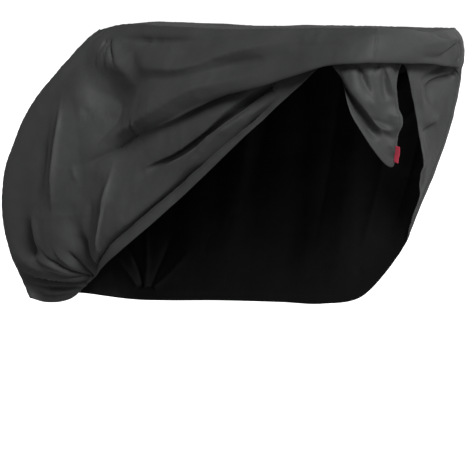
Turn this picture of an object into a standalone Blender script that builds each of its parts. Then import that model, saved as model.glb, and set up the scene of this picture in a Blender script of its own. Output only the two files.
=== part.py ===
"""A fitted bicycle cover, hanging with its near front corner lifted.

Metres, +Z up. +X is the front end, -Y the near side, +Y the far side. The origin is the point
under the middle of the top where the cover is held. The cloth is worked out as one surface from a
table of upright sections around the cover, and then cut into its sewn panels and thickened.
"""
import bmesh
import bpy
import numpy as np

# ---- driving sizes -------------------------------------------------------------------------
CLOTH_THICK = 0.002      # coated polyester, drawn a little thick
SEAM_GAP = 0.0003        # between two sewn panels
TUCK_GAP = 0.024         # between the layers of the tuck, front to back
SHOULDER_SHARE = 0.16    # how far down to the lip the shoulder lies
SHOULDER_OUT = 0.022     # how far the shoulder rolls outwards
WALL_CROWN = 0.012       # swell of the wall between the shoulder and the lip
TOP_CROWN = 0.010        # swell of the top between its two long edges

SIDE_STEPS = 36          # faces along each side panel
STRIP_STEPS = 12         # faces across the strip
SPAN_STEPS = (2, 3, 3, 2, 2, 2, 5, 5)    # faces between the rows of control points
WALL_STEPS = sum(SPAN_STEPS)             # faces from the top edge to the hem

TAB_START = 0.008        # above the hem, along the seam
TAB_LENGTH = 0.064       # along the seam
TAB_STEPS = 6
TAB_REACH = 0.024        # out of the seam
TAB_THICK = 0.0016

# ---- the sections --------------------------------------------------------------------------
# One row for each upright section around the cover. top is the edge of the top, lip the lower
# edge of the overhanging tuck, root the inner upper edge of the tuck, belly the middle of the
# cloth below it and hem its lower edge. tuck is 1 where the cloth is tucked and 0 where it
# hangs in one layer.
NEAR_SECTIONS = [
    # name, tuck, top, lip,
    # root, belly, hem
    ("rear_seam", 0.0, (-0.52, -0.20, -0.006), (-0.92, -0.20, -0.350),
     (-1.04, -0.20, -0.580), (-1.05, -0.20, -0.840), (-0.905, -0.17, -1.100)),
    ("rear_turn", 0.0, (-0.49, -0.23, 0.004), (-0.78, -0.25, -0.370),
     (-0.87, -0.26, -0.600), (-0.91, -0.25, -0.870), (-0.81, -0.21, -1.125)),
    ("rear_low", 0.0, (-0.43, -0.25, 0.013), (-0.64, -0.30, -0.410),
     (-0.69, -0.31, -0.620), (-0.71, -0.30, -0.870), (-0.68, -0.24, -1.125)),
    ("cinch", 0.0, (-0.31, -0.26, 0.022), (-0.47, -0.29, -0.480),
     (-0.50, -0.28, -0.640), (-0.52, -0.28, -0.830), (-0.54, -0.26, -1.030)),
    ("tuck_start", 0.2, (-0.16, -0.27, 0.014), (-0.27, -0.32, -0.420),
     (-0.28, -0.30, -0.460), (-0.31, -0.30, -0.640), (-0.37, -0.28, -0.895)),
    ("tuck_deepens", 0.7, (0.02, -0.27, 0.006), (-0.05, -0.34, -0.350),
     (-0.06, -0.30, -0.330), (-0.08, -0.31, -0.500), (-0.14, -0.29, -0.725)),
    ("tuck_middle", 1.0, (0.22, -0.27, 0.003), (0.18, -0.35, -0.262),
     (0.17, -0.29, -0.180), (0.15, -0.30, -0.340), (0.10, -0.29, -0.545)),
    ("tuck_high", 1.0, (0.42, -0.27, 0.004), (0.42, -0.35, -0.205),
     (0.40, -0.29, -0.110), (0.37, -0.29, -0.220), (0.32, -0.29, -0.372)),
    ("tuck_end", 1.0, (0.58, -0.27, 0.007), (0.61, -0.35, -0.152),
     (0.59, -0.29, -0.060), (0.56, -0.28, -0.120), (0.53, -0.29, -0.215)),
    ("apex", 1.0, (0.71, -0.27, 0.009), (0.74, -0.35, -0.127),
     (0.71, -0.29, -0.040), (0.69, -0.27, -0.080), (0.68, -0.29, -0.125)),
    ("flap", 1.0, (0.81, -0.27, 0.009), (0.84, -0.35, -0.122),
     (0.80, -0.29, -0.040), (0.80, -0.30, -0.170), (0.80, -0.31, -0.320)),
    ("front_seam", 1.0, (0.88, -0.26, 0.008), (0.90, -0.31, -0.120),
     (0.86, -0.24, -0.040), (0.93, -0.16, -0.250), (0.88, -0.14, -0.515)),
]
FRONT_SECTIONS = [
    ("valley", 1.0, (0.91, -0.16, 0.005), (0.93, -0.19, -0.123),
     (0.86, -0.18, -0.050), (0.79, -0.09, -0.230), (0.80, -0.09, -0.460)),
    ("recess", 1.0, (0.91, -0.08, 0.000), (0.93, -0.09, -0.125),
     (0.86, -0.10, -0.050), (0.76, 0.00, -0.230), (0.78, 0.02, -0.470)),
    ("panel_fold", 1.0, (0.91, 0.02, -0.006), (0.93, 0.01, -0.128),
     (0.88, -0.04, -0.050), (0.90, -0.07, -0.230), (0.88, 0.06, -0.465)),
    ("panel", 0.9, (0.91, 0.12, 0.000), (0.93, 0.12, -0.140),
     (0.89, 0.11, -0.090), (0.89, 0.10, -0.310), (0.80, 0.15, -0.600)),
    ("far_seam", 0.3, (0.89, 0.22, 0.006), (0.91, 0.25, -0.135),
     (0.89, 0.25, -0.190), (0.84, 0.26, -0.410), (0.66, 0.26, -0.750)),
]
# The far side hangs in one layer, so its rows need only the places along X and the hem.
FAR_SECTIONS = [
    # name          top_x  belly_x  belly_z  hem_x   hem_z
    ("far_turn",    0.83,  0.80,   -0.400,   0.60,  -0.860),
    ("far_front",   0.66,  0.62,   -0.560,   0.42,  -1.045),
    ("far_rise",    0.44,  0.38,   -0.700,   0.22,  -1.090),
    ("far_middle",  0.18,  0.10,   -0.760,   0.00,  -1.095),
    ("far_rear",   -0.10, -0.24,   -0.780,  -0.30,  -1.105),
    ("far_slope",  -0.36, -0.56,   -0.800,  -0.58,  -1.120),
    ("far_low",    -0.46, -0.82,   -0.820,  -0.77,  -1.125),
]
FAR_TOP_Y = 0.27
FAR_LIP_Y = 0.325              # the wall just under the shoulder
FAR_BELLY_Y = 0.320
FAR_HEM_Y = 0.285
FAR_LIP_SHARE = 0.30           # how far down to the belly the wall reaches its full width
FAR_ROOT_SHARE = 0.60
REAR_NOSE = 0.030              # how far the middle of the rear end stands behind its seams

# ---- the main folds ------------------------------------------------------------------------
# Each fold is a soft ridge (height above 0) or trough (below 0) on a wall, from one place to
# another. A place is x and z on a side, y and z on an end, and x and y on the top.
# An upper fold stays on the cloth above the tuck and a lower one on the cloth below it.
FOLDS = [
    # wall    layer    from            to              half_width  height
    ("near",  "upper", (-0.55, -0.03), (-0.28, -0.22),  0.050,  0.028),
    ("near",  "upper", (-0.60, -0.10), (-0.46, -0.30),  0.045, -0.022),
    ("near",  "both",  (-0.76, -0.17), (-0.42, -0.34),  0.055,  0.030),
    ("near",  "both",  (-0.70, -0.30), (-0.56, -0.52),  0.050,  0.026),
    ("near",  "both",  (-0.70, -0.24), (-0.72, -0.78),  0.040,  0.022),
    ("near",  "upper", (-0.24, -0.20), (0.55, -0.09),   0.055, -0.020),
    ("near",  "both",  (-0.42, -0.53), (-0.54, -0.98),  0.045,  0.026),
    ("near",  "both",  (-0.60, -0.74), (-0.58, -0.97),  0.045, -0.024),
    ("near",  "both",  (-0.88, -0.76), (-0.86, -0.93),  0.050, -0.016),
    ("near",  "both",  (-0.98, -0.92), (-0.62, -1.00),  0.035,  0.016),
    ("near",  "both",  (-0.93, -1.02), (-0.62, -1.05),  0.035, -0.016),
    ("near",  "lower", (-0.22, -0.56), (0.14, -0.36),   0.040, -0.024),
    ("near",  "lower", (0.00, -0.56), (0.30, -0.34),    0.040,  0.022),
    ("near",  "lower", (0.74, -0.10), (0.83, -0.34),    0.030, -0.014),
    ("front", "upper", (0.18, -0.06), (-0.02, -0.05),   0.050,  0.010),
    ("front", "lower", (0.22, -0.17), (0.04, -0.24),    0.040, -0.016),
    ("front", "lower", (0.16, -0.36), (0.08, -0.42),    0.040, -0.012),
    ("far",   "both",  (0.66, -0.10), (0.52, -0.80),    0.055,  0.016),
    ("far",   "both",  (0.40, -0.08), (0.30, -0.98),    0.065, -0.018),
    ("far",   "both",  (0.10, -0.10), (0.04, -1.00),    0.070,  0.018),
    ("far",   "both",  (-0.20, -0.07), (-0.28, -0.95),  0.065, -0.018),
    ("far",   "both",  (-0.50, -0.12), (-0.60, -1.02),  0.060,  0.020),
    ("far",   "both",  (-0.80, -0.40), (-0.76, -1.02),  0.055, -0.016),
    ("top",   "upper", (-0.42, 0.01), (0.70, -0.01),    0.080, -0.008),
    ("top",   "upper", (0.30, -0.20), (0.82, 0.16),     0.060,  0.006),
    ("top",   "upper", (-0.40, 0.16), (-0.10, -0.12),   0.060,  0.006),
    ("rear",  "both",  (0.09, -0.16), (0.05, -0.98),    0.055,  0.016),
    ("rear",  "both",  (-0.07, -0.30), (-0.04, -1.04),  0.050, -0.016),
]
UPPER_ENDS = 0.42        # share of the way down where the upper layer ends
LOWER_STARTS = 0.60

MATERIALS = {
    # name          colour                  roughness
    "cloth":      ((0.036, 0.037, 0.039, 1), 0.62),
    "tab":        ((0.560, 0.020, 0.050, 1), 0.60),
}


def remove_everything():
    for item in list(bpy.data.objects):
        bpy.data.objects.remove(item)


# ---- from the table to control points ------------------------------------------------------
def far_rows():
    """The far side's sections, written out in the same form as the near ones."""
    rows = []
    for name, top_x, belly_x, belly_z, hem_x, hem_z in FAR_SECTIONS:
        lip_x = top_x + (belly_x - top_x) * FAR_LIP_SHARE
        root_x = top_x + (belly_x - top_x) * FAR_ROOT_SHARE
        rows.append((
            name, 0.0,
            (top_x, FAR_TOP_Y, 0.008),
            (lip_x, FAR_LIP_Y, belly_z * FAR_LIP_SHARE),
            (root_x, FAR_LIP_Y, belly_z * FAR_ROOT_SHARE),
            (belly_x, FAR_BELLY_Y, belly_z),
            (hem_x, FAR_HEM_Y, hem_z),
        ))
    return rows


def rear_rows():
    """The rear end: the far seam mirrors the near one, and the middle stands behind both."""
    seam = NEAR_SECTIONS[0]
    mirrored = [(x, -y, z) for x, y, z in seam[2:]]
    middle = [(x - REAR_NOSE, 0.0, z) for x, y, z in seam[2:]]
    return [("rear_far_seam", 0.0, *mirrored), ("rear_middle", 0.0, *middle)]


def outward_directions(lips):
    """The level direction that points out of the cover at each section."""
    tangent = np.roll(lips, -1, axis=0) - np.roll(lips, 1, axis=0)
    outward = np.stack([tangent[:, 1], -tangent[:, 0], np.zeros(len(lips))], axis=1)
    return outward / np.linalg.norm(outward, axis=1)[:, None]


def control_net():
    """Control points, one row for each section, from the top edge down to the hem."""
    rows = NEAR_SECTIONS + FRONT_SECTIONS + far_rows() + rear_rows()
    tuck = np.array([row[1] for row in rows])[:, None]
    top, lip, root, belly, hem = (np.array([row[2 + k] for row in rows]) for k in range(5))
    outward = outward_directions(lip)
    gap = outward * TUCK_GAP * tuck
    spread = (root - lip) * 0.33 * (1 - tuck)
    shoulder = top + (lip - top) * SHOULDER_SHARE + outward * SHOULDER_OUT
    face = (shoulder + lip) / 2 + outward * WALL_CROWN
    return np.stack([
        top, shoulder, face,
        lip + gap / 2, lip - gap / 2 + spread,
        root + gap / 2 - spread, root - gap / 2,
        belly, hem,
    ], axis=1)


# ---- smooth curves through the control points ----------------------------------------------
def through_weights(f):
    """Catmull-Rom: passes through its points."""
    return np.array([
        -0.5 * f + f ** 2 - 0.5 * f ** 3,
        1 - 2.5 * f ** 2 + 1.5 * f ** 3,
        0.5 * f + 2 * f ** 2 - 1.5 * f ** 3,
        -0.5 * f ** 2 + 0.5 * f ** 3,
    ])


def soft_weights(f):
    """Cubic B-spline: passes softly near its points."""
    return np.array([
        (1 - f) ** 3,
        4 - 6 * f ** 2 + 3 * f ** 3,
        1 + 3 * f + 3 * f ** 2 - 3 * f ** 3,
        f ** 3,
    ]) / 6


def section_at(net, u):
    """The control points of the section at u, counted in sections around the cover."""
    count = len(net)
    base = int(np.floor(u))
    weights = through_weights(u - base)
    return sum(weights[k] * net[(base + k - 1) % count] for k in range(4))


def wall_point(section, t):
    """A point of one section at t, from 0 at the top edge to 1 at the hem."""
    padded = np.vstack([2 * section[0] - section[1], section, 2 * section[-1] - section[-2]])
    spans = len(section) - 1
    base = min(int(t * spans), spans - 1)
    weights = soft_weights(t * spans - base)
    return weights @ padded[base:base + 4]


def fold_height(wall, layer, place):
    """The sum of the folds that reach this place on a wall."""
    total = 0.0
    for fold_wall, fold_layer, start, end, half_width, height in FOLDS:
        if fold_wall != wall or fold_layer not in ("both", layer):
            continue
        along = np.subtract(end, start)
        reach = np.clip(np.dot(place - start, along) / np.dot(along, along), 0, 1)
        away = np.linalg.norm(place - start - reach * along)
        fade = np.sin(np.pi * (0.12 + 0.76 * reach))
        total += height * fade * np.exp(-(away / half_width) ** 2)
    return total


# ---- the whole cloth -----------------------------------------------------------------------
def levels():
    """The share of the way down at each row of points."""
    spans = len(SPAN_STEPS)
    marks = [(k + step / steps) / spans for k, steps in enumerate(SPAN_STEPS) for step in range(steps)]
    return marks + [1.0]


def wall_grid(net):
    """Points around the cover: grid[column][row], from the near rear seam round to it again."""
    near_end = len(NEAR_SECTIONS) - 1
    far_start = near_end + len(FRONT_SECTIONS)
    far_end = far_start + len(FAR_SECTIONS) + 1
    stops = np.concatenate([
        np.linspace(0, near_end, SIDE_STEPS + 1)[:-1],
        np.linspace(near_end, far_start, STRIP_STEPS + 1)[:-1],
        np.linspace(far_start, far_end, SIDE_STEPS + 1)[:-1],
        np.linspace(far_end, len(net), STRIP_STEPS + 1)[:-1],
    ])
    return np.array([[wall_point(section_at(net, u), t) for t in levels()] for u in stops])


def top_grid(wall):
    """The top, filled in between the four stretches of the walls' top edge."""
    near = wall[:SIDE_STEPS + 1, 0]
    front = wall[SIDE_STEPS:SIDE_STEPS + STRIP_STEPS + 1, 0]
    far = wall[SIDE_STEPS + STRIP_STEPS:2 * SIDE_STEPS + STRIP_STEPS + 1, 0][::-1]
    rear = np.vstack([wall[2 * SIDE_STEPS + STRIP_STEPS:, 0], wall[:1, 0]])[::-1]
    a = np.linspace(0, 1, SIDE_STEPS + 1)[:, None, None]
    b = np.linspace(0, 1, STRIP_STEPS + 1)[None, :, None]
    sides = (1 - b) * near[:, None] + b * far[:, None]
    ends = (1 - a) * rear[None] + a * front[None]
    corners = (
        (1 - a) * (1 - b) * near[0] + (1 - a) * b * far[0]
        + a * (1 - b) * near[-1] + a * b * far[-1]
    )
    top = sides + ends - corners
    top[:, :, 2] += TOP_CROWN * (4 * b * (1 - b))[:, :, 0] * np.minimum(1, 8 * a * (1 - a))[:, :, 0]
    return top


def whole_cloth():
    """Points, the wall and layer that each lies on, and the faces of each panel, facing out."""
    wall = wall_grid(control_net())
    top = top_grid(wall)
    columns = len(wall)
    rows = WALL_STEPS + 1
    points = list(wall.reshape(-1, 3))
    turns = np.cumsum([0, SIDE_STEPS, STRIP_STEPS, SIDE_STEPS, STRIP_STEPS])
    labels = []
    for name, first, last in zip(("near", "front", "far", "rear"), turns, turns[1:]):
        labels += [(name, layer_at(level)) for _ in range(first, last) for level in levels()]

    def wall_index(column, row):
        return (column % columns) * rows + row

    top_index = {}
    for i in range(SIDE_STEPS + 1):
        for k in range(STRIP_STEPS + 1):
            if k == 0:
                top_index[i, k] = wall_index(i, 0)
            elif k == STRIP_STEPS:
                top_index[i, k] = wall_index(turns[3] - i, 0)
            elif i == 0:
                top_index[i, k] = wall_index(columns - k, 0)
            elif i == SIDE_STEPS:
                top_index[i, k] = wall_index(SIDE_STEPS + k, 0)
            else:
                top_index[i, k] = len(points)
                points.append(top[i, k])
                labels.append(("top", "upper"))

    def wall_faces(first, last):
        return [
            (wall_index(c, r), wall_index(c, r + 1), wall_index(c + 1, r + 1), wall_index(c + 1, r))
            for c in range(first, last) for r in range(WALL_STEPS)
        ]

    top_faces = [
        (top_index[i, k], top_index[i + 1, k], top_index[i + 1, k + 1], top_index[i, k + 1])
        for i in range(SIDE_STEPS) for k in range(STRIP_STEPS)
    ]
    panels = {
        "side_near": wall_faces(turns[0], turns[1]),
        "side_far": wall_faces(turns[2], turns[3]),
        "strip": wall_faces(turns[1], turns[2]) + top_faces + wall_faces(turns[3], turns[4]),
    }
    return np.array(points), labels, panels


def layer_at(level):
    """Which layer of the tuck a share of the way down belongs to."""
    if level < UPPER_ENDS:
        return "upper"
    return "lower" if level > LOWER_STARTS else "tuck"


def point_normals(points, faces):
    """The mean outward direction of the faces that meet at each point."""
    normals = np.zeros_like(points)
    for face in faces:
        a, b, c, d = points[list(face)]
        square = np.cross(c - a, d - b)
        for corner in face:
            normals[corner] += square
    return normals / np.linalg.norm(normals, axis=1)[:, None]


def push_folds(points, labels, normals):
    """Raise and sink the cloth along its main folds."""
    flat_axes = {"near": (0, 2), "far": (0, 2), "front": (1, 2), "rear": (1, 2), "top": (0, 1)}
    for index, (wall, layer) in enumerate(labels):
        place = points[index][list(flat_axes[wall])]
        points[index] += normals[index] * fold_height(wall, layer, place)


# ---- panels as solids ----------------------------------------------------------------------
def panel_solid(name, points, normals, faces, shared):
    """Thicken one panel, drawing it back a little from the seams that it shares."""
    used = sorted({corner for face in faces for corner in face})
    inward = {corner: np.zeros(3) for corner in used}
    for face in faces:
        middle = points[list(face)].mean(axis=0)
        for corner in face:
            inward[corner] += middle - points[corner]
    mesh = bmesh.new()
    outer = {}
    inner = {}
    for corner in used:
        place = points[corner].copy()
        normal = normals[corner]
        if corner in shared:
            pull = inward[corner] - normal * np.dot(inward[corner], normal)
            place = place + pull / np.linalg.norm(pull) * SEAM_GAP / 2
        outer[corner] = mesh.verts.new(place + normal * CLOTH_THICK / 2)
        inner[corner] = mesh.verts.new(place - normal * CLOTH_THICK / 2)
    edges = set()
    for face in faces:
        mesh.faces.new([outer[corner] for corner in face])
        mesh.faces.new([inner[corner] for corner in reversed(face)])
        edges.update(zip(face, face[1:] + face[:1]))
    for start, end in sorted(edges):
        if (end, start) not in edges:
            mesh.faces.new([outer[end], outer[start], inner[start], inner[end]])
    return finish_object(name, mesh, "cloth")


def finish_object(name, mesh, material):
    bmesh.ops.triangulate(mesh, faces=mesh.faces[:])
    data = bpy.data.meshes.new(name)
    mesh.to_mesh(data)
    mesh.free()
    data.materials.append(make_material(material))
    data.shade_smooth()
    item = bpy.data.objects.new(name, data)
    bpy.context.scene.collection.objects.link(item)
    return item


def make_material(name):
    material = bpy.data.materials.get(name)
    if material is None:
        colour, roughness = MATERIALS[name]
        material = bpy.data.materials.new(name)
        material.use_nodes = True
        shader = material.node_tree.nodes["Principled BSDF"]
        shader.inputs["Base Color"].default_value = colour
        shader.inputs["Roughness"].default_value = roughness
    return material


def seam_tab(points, normals):
    """The small tab that stands out of the near front seam, just above the hem."""
    first = SIDE_STEPS * (WALL_STEPS + 1)
    seam = points[first:first + WALL_STEPS + 1][::-1]
    outs = normals[first:first + WALL_STEPS + 1][::-1]
    climb = np.concatenate([[0], np.cumsum(np.linalg.norm(np.diff(seam, axis=0), axis=1))])
    wanted = np.linspace(TAB_START, TAB_START + TAB_LENGTH, TAB_STEPS + 1)
    foot = np.stack([np.interp(wanted, climb, seam[:, k]) for k in range(3)], axis=1)
    out = np.stack([np.interp(wanted, climb, outs[:, k]) for k in range(3)], axis=1)
    up = (foot[-1] - foot[0]) / TAB_LENGTH
    side = np.cross(up, out)
    side /= np.linalg.norm(side, axis=1)[:, None]
    near_edge = foot + out * (CLOTH_THICK / 2 + SEAM_GAP)
    outer_edge = near_edge + out * TAB_REACH
    half = side * TAB_THICK / 2
    mesh = bmesh.new()
    loops = [
        [mesh.verts.new(corner) for corner in ring]
        for ring in zip(near_edge - half, outer_edge - half, outer_edge + half, near_edge + half)
    ]
    for low, high in zip(loops, loops[1:]):
        for k in range(4):
            mesh.faces.new([low[k], low[(k + 1) % 4], high[(k + 1) % 4], high[k]])
    mesh.faces.new(loops[0][::-1])
    mesh.faces.new(loops[-1])
    bmesh.ops.recalc_face_normals(mesh, faces=mesh.faces[:])
    return finish_object("seam_tab", mesh, "tab")


def build():
    remove_everything()
    points, labels, panels = whole_cloth()
    every_face = [face for faces in panels.values() for face in faces]
    push_folds(points, labels, point_normals(points, every_face))
    normals = point_normals(points, every_face)
    owners = {}
    for name, faces in panels.items():
        for face in faces:
            for corner in face:
                owners.setdefault(corner, set()).add(name)
    shared = {corner for corner, names in owners.items() if len(names) > 1}
    for name, faces in panels.items():
        panel_solid(name, points, normals, faces, shared)
    seam_tab(points, normals)


build()
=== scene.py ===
import itertools
import math

import bpy
import numpy as np
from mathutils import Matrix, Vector


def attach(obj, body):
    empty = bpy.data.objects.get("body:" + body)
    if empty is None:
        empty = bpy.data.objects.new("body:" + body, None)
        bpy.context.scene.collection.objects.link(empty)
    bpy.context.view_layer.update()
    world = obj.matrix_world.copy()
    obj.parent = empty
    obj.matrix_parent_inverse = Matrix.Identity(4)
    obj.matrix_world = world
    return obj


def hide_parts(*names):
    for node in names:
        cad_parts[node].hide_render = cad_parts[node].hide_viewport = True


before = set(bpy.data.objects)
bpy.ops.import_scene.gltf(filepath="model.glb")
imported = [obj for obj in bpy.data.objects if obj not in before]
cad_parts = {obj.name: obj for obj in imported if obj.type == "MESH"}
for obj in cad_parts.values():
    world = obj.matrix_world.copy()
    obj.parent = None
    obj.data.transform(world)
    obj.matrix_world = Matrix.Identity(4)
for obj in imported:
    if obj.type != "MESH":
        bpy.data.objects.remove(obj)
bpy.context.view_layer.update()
bpy.ops.object.select_all(action="DESELECT")
print("frame loaded, with", len(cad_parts), "nodes")

# The frame's own axes: +X is the front end, -Y the near side, +Z up. Sizes are in metres.

cameraSet = {
    "turn": 38.0,              # degrees from the near side towards the front end
    "rise": 4.0,               # degrees above the horizon
    "distance": 14.0,
    "target": (0.0, 0.0, -0.81),
    "pixelsPerMetre": 254.0,   # at the target, in a picture of imagePixels
    "imagePixels": 470,
    "sensor": 36.0,
}


def lookFrom(turn, rise):
    turn, rise = math.radians(turn), math.radians(rise)
    return Vector((math.sin(turn) * math.cos(rise), -math.cos(turn) * math.cos(rise), math.sin(rise)))


def makeCamera(setUp):
    camera = bpy.data.objects.new("camera", bpy.data.cameras.new("camera"))
    bpy.context.scene.collection.objects.link(camera)
    back = lookFrom(setUp["turn"], setUp["rise"])
    camera.location = Vector(setUp["target"]) + back * setUp["distance"]
    camera.rotation_euler = back.to_track_quat("Z", "Y").to_euler()
    camera.data.sensor_width = setUp["sensor"]
    seen = setUp["imagePixels"] / setUp["pixelsPerMetre"]     # metres across the picture
    camera.data.lens = setUp["sensor"] * setUp["distance"] / seen
    bpy.context.scene.camera = camera


makeCamera(cameraSet)

# Soft studio light, a pale floor and a pale backdrop
studio = {
    "floorHeight": -1.28,
    "floorRadius": 60.0,
    "floorSides": 96,
    "floorColour": (0.40, 0.40, 0.40, 1),
    "floorRoughness": 0.9,
    "floorSeen": 1.1,          # how bright the camera sees the floor, past its own shading
    "skyColour": (1.0, 1.0, 1.0, 1),
    "skyLight": 0.10,
    "skySeen": 1.1,            # and the same for the sky
    # turn and rise in degrees, strength, and how wide the light is in degrees
    "suns": [(59, 31, 5.0, 20), (-50, 10, 0.35, 60), (98, 8, 0.6, 40), (176, 18, 1.0, 60)],
}


def makeStudio(setUp):
    scene = bpy.context.scene
    scene.view_settings.view_transform = "Standard"
    world = bpy.data.worlds.new("studioSky")
    world.use_nodes = True
    scene.world = world
    nodes, links = world.node_tree.nodes, world.node_tree.links
    back = nodes["Background"]
    back.inputs["Color"].default_value = setUp["skyColour"]
    back.inputs["Strength"].default_value = setUp["skyLight"]
    seen = nodes.new("ShaderNodeBackground")
    seen.inputs["Color"].default_value = setUp["skyColour"]
    seen.inputs["Strength"].default_value = setUp["skySeen"]
    path = nodes.new("ShaderNodeLightPath")
    mix = nodes.new("ShaderNodeMixShader")
    links.new(path.outputs["Is Camera Ray"], mix.inputs["Fac"])
    links.new(back.outputs["Background"], mix.inputs[1])
    links.new(seen.outputs["Background"], mix.inputs[2])
    links.new(mix.outputs["Shader"], nodes["World Output"].inputs["Surface"])
    for turn, rise, strength, width in setUp["suns"]:
        light = bpy.data.objects.new("sun", bpy.data.lights.new("sun", "SUN"))
        light.data.energy = strength
        light.data.angle = math.radians(width)
        light.rotation_euler = lookFrom(turn, rise).to_track_quat("Z", "Y").to_euler()
        scene.collection.objects.link(light)
    bpy.ops.mesh.primitive_circle_add(
        vertices=setUp["floorSides"], radius=setUp["floorRadius"], fill_type="NGON",
        location=(0, 0, setUp["floorHeight"]))
    floor = bpy.context.active_object
    floor.name = "floor"
    paint = bpy.data.materials.new("paleFloor")
    paint.use_nodes = True
    shader = paint.node_tree.nodes["Principled BSDF"]
    shader.inputs["Base Color"].default_value = setUp["floorColour"]
    shader.inputs["Roughness"].default_value = setUp["floorRoughness"]
    shader.inputs["Emission Color"].default_value = (1, 1, 1, 1)
    nodes, links = paint.node_tree.nodes, paint.node_tree.links
    path = nodes.new("ShaderNodeLightPath")
    glow = nodes.new("ShaderNodeMath")
    glow.operation = "MULTIPLY"
    glow.inputs[1].default_value = setUp["floorSeen"]
    links.new(path.outputs["Is Camera Ray"], glow.inputs[0])
    links.new(glow.outputs[0], shader.inputs["Emission Strength"])
    floor.data.materials.append(paint)
    floor.select_set(False)


makeStudio(studio)
print("camera, light and floor placed")

# The form of the whole cover. It follows the frame's solids, but the hem is drawn in more at the rear,
# and lifted more between the flap and the front end. Each row is one upright section: how far the
# cloth is tucked there, then its top edge, lip of the overhang, root of the tuck, belly and hem.
coverForm = {
    "nearSections": [
        (0.0, (-0.52, -0.20, -0.006), (-0.92, -0.20, -0.350), (-1.04, -0.20, -0.580),
         (-1.055, -0.20, -0.850), (-0.945, -0.14, -1.098)),
        (0.0, (-0.49, -0.19, 0.004), (-0.78, -0.25, -0.370), (-0.87, -0.26, -0.600),
         (-0.91, -0.26, -0.885), (-0.896, -0.09, -1.118)),
        (0.0, (-0.43, -0.20, 0.013), (-0.64, -0.285, -0.410), (-0.69, -0.30, -0.620),
         (-0.71, -0.30, -0.880), (-0.763, -0.10, -1.096)),
        (0.0, (-0.31, -0.22, 0.022), (-0.47, -0.29, -0.480), (-0.50, -0.28, -0.640),
         (-0.52, -0.28, -0.830), (-0.606, -0.16, -1.010)),
        (0.2, (-0.16, -0.25, 0.014), (-0.27, -0.31, -0.420), (-0.28, -0.29, -0.460),
         (-0.31, -0.30, -0.640), (-0.37, -0.28, -0.885)),
        (0.7, (0.02, -0.27, 0.006), (-0.05, -0.322, -0.350), (-0.06, -0.285, -0.330),
         (-0.08, -0.297, -0.500), (-0.14, -0.29, -0.725)),
        (1.0, (0.22, -0.27, 0.003), (0.18, -0.332, -0.262), (0.17, -0.275, -0.180),
         (0.15, -0.29, -0.340), (0.10, -0.29, -0.545)),
        (1.0, (0.42, -0.27, 0.004), (0.42, -0.340, -0.205), (0.40, -0.28, -0.110),
         (0.37, -0.285, -0.220), (0.32, -0.29, -0.372)),
        (1.0, (0.58, -0.27, 0.007), (0.61, -0.35, -0.152), (0.59, -0.29, -0.060),
         (0.56, -0.28, -0.120), (0.53, -0.29, -0.215)),
        (1.0, (0.70, -0.265, 0.009), (0.720, -0.337, -0.127), (0.71, -0.29, -0.040),
         (0.69, -0.27, -0.080), (0.68, -0.29, -0.125)),
        (1.0, (0.785, -0.255, 0.009), (0.802, -0.322, -0.122), (0.80, -0.28, -0.040),
         (0.80, -0.30, -0.170), (0.80, -0.31, -0.320)),
        (1.0, (0.850, -0.230, 0.008), (0.866, -0.280, -0.120), (0.85, -0.23, -0.040),
         (0.915, -0.17, -0.250), (0.865, -0.145, -0.508)),
    ],
    "frontSections": [
        (1.0, (0.890, -0.150, 0.005), (0.908, -0.180, -0.123), (0.86, -0.17, -0.050),
         (0.86, -0.13, -0.110), (0.87, -0.125, -0.180)),
        (1.0, (0.908, -0.075, 0.000), (0.930, -0.090, -0.125), (0.86, -0.10, -0.050),
         (0.86, -0.09, -0.090), (0.88, -0.080, -0.140)),
        (1.0, (0.91, 0.02, -0.012), (0.93, 0.01, -0.128), (0.88, -0.04, -0.050),
         (0.90, -0.05, -0.190), (0.89, -0.020, -0.355)),
        (0.9, (0.91, 0.12, 0.000), (0.93, 0.12, -0.140), (0.89, 0.11, -0.090),
         (0.89, 0.10, -0.310), (0.80, 0.15, -0.565)),
        (0.3, (0.89, 0.22, 0.006), (0.91, 0.25, -0.135), (0.89, 0.25, -0.190),
         (0.84, 0.26, -0.410), (0.66, 0.26, -0.750)),
    ],
    "farSections": [
        # top x, belly x, belly z, hem x, hem z: the far side hangs in one layer
        (0.83, 0.80, -0.400, 0.60, -0.860),
        (0.66, 0.62, -0.560, 0.42, -1.045),
        (0.44, 0.38, -0.700, 0.22, -1.090),
        (0.18, 0.10, -0.760, 0.00, -1.095),
        (-0.10, -0.24, -0.780, -0.30, -1.105),
        (-0.36, -0.56, -0.800, -0.58, -1.120),
        (-0.46, -0.82, -0.820, -0.77, -1.125),
    ],
    "farTop": (0.27, 0.008),
    "farWallY": 0.325,
    "farBellyY": 0.320,
    "farHemY": 0.285,
    "farLipShare": 0.30,
    "farRootShare": 0.60,
    "rearNose": 0.030,         # how far the middle of the rear end stands out
    "tuckGap": 0.024,          # between the two layers of a tuck
    "plainSpread": 0.33,       # where there is no tuck, its points spread out along the wall
    "shoulderShare": 0.16,
    "shoulderOut": 0.022,
    "wallCrown": 0.012,
    "topCrown": 0.010,
    "crownEnds": 8.0,          # how steeply the top's crown dies away at its two ends
    # each of these is where a change starts and over how much it goes on
    "tuckedFrom": (0.1, 0.5),       # from plain to tucked cloth
    "upperEnds": (0.37, 0.08),      # the overhang turns under, as shares of the way down
    "lowerStarts": (0.60, 0.05),    # the cloth below it comes out
}

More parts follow.
